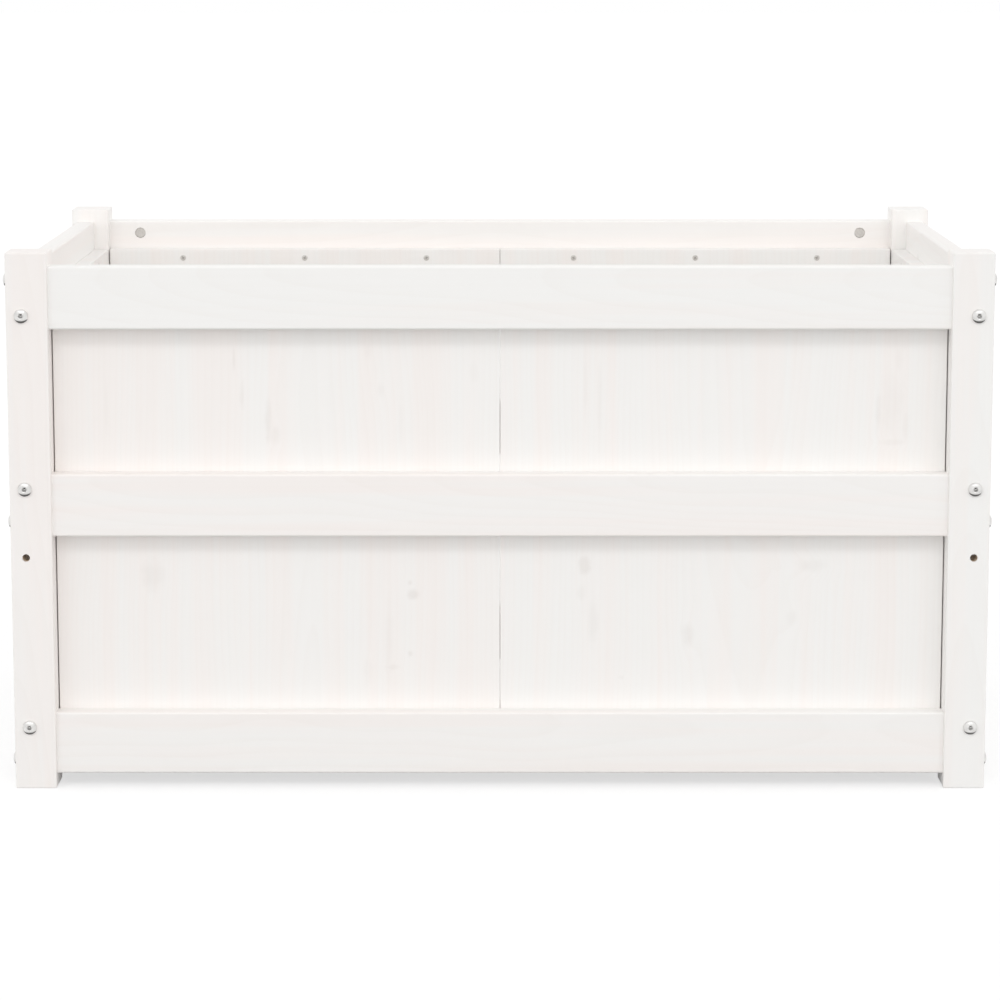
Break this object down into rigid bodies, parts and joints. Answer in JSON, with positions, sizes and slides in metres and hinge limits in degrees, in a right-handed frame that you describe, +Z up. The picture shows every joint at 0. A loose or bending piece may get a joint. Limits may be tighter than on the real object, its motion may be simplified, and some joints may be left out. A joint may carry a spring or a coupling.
{
  "type": "versailles planter",
  "caption": "Rectangular white-stained timber planter box with square corner posts, horizontal rails over board panels, a slatted floor and bolted knock-down corners.",
  "frame": {"origin": "on the ground under the middle of the box", "axes": "+X to the right along the long front, +Y from the front to the back, +Z up"},
  "size_m": [0.9068, 0.5068, 0.5],
  "materials": {
    "post_pine": "white-stained planed pine, matt, faint upright grain",
    "rail_pine": "white-stained planed pine, matt, faint grain along the rail",
    "panel_pine": "white-stained pine boards, matt, upright grain with faint knots",
    "floor_pine": "white-stained planed pine, matt, grain along the board",
    "zinc": "bright zinc plate, satin"
  },
  "bodies": {
    "root": {"post_front_left": "post_pine", "post_front_right": "post_pine", "post_back_left": "post_pine", "post_back_right": "post_pine", "rail_front_bottom": "rail_pine", "rail_front_middle": "rail_pine", "rail_front_top": "rail_pine", "rail_back_bottom": "rail_pine", "rail_back_middle": "rail_pine", "rail_back_top": "rail_pine", "rail_left_bottom": "rail_pine", "rail_left_middle": "rail_pine", "rail_left_top": "rail_pine", "rail_right_bottom": "rail_pine", "rail_right_middle": "rail_pine", "rail_right_top": "rail_pine", "panel_front_left": "panel_pine", "panel_front_right": "panel_pine", "panel_back_left": "panel_pine", "panel_back_right": "panel_pine", "panel_left": "panel_pine", "panel_right": "panel_pine", "bearer_front": "floor_pine", "bearer_back": "floor_pine", "floor_board_1": "floor_pine", "floor_board_2": "floor_pine", "floor_board_3": "floor_pine", "floor_board_4": "floor_pine", "floor_board_5": "floor_pine", "floor_board_6": "floor_pine", "floor_board_7": "floor_pine", "floor_board_8": "floor_pine", "bolt_front_bottom_left": "zinc", "bolt_front_bottom_right": "zinc", "bolt_front_middle_left": "zinc", "bolt_front_middle_right": "zinc", "bolt_front_top_left": "zinc", "bolt_front_top_right": "zinc", "bolt_back_bottom_left": "zinc", "bolt_back_bottom_right": "zinc", "bolt_back_middle_left": "zinc", "bolt_back_middle_right": "zinc", "bolt_back_top_left": "zinc", "bolt_back_top_right": "zinc", "bolt_left_bottom_front": "zinc", "bolt_left_bottom_back": "zinc", "bolt_left_middle_front": "zinc", "bolt_left_middle_back": "zinc", "bolt_left_top_front": "zinc", "bolt_left_top_back": "zinc", "bolt_right_bottom_front": "zinc", "bolt_right_bottom_back": "zinc", "bolt_right_middle_front": "zinc", "bolt_right_middle_back": "zinc", "bolt_right_top_front": "zinc", "bolt_right_top_back": "zinc"}
  },
  "joints": []
}
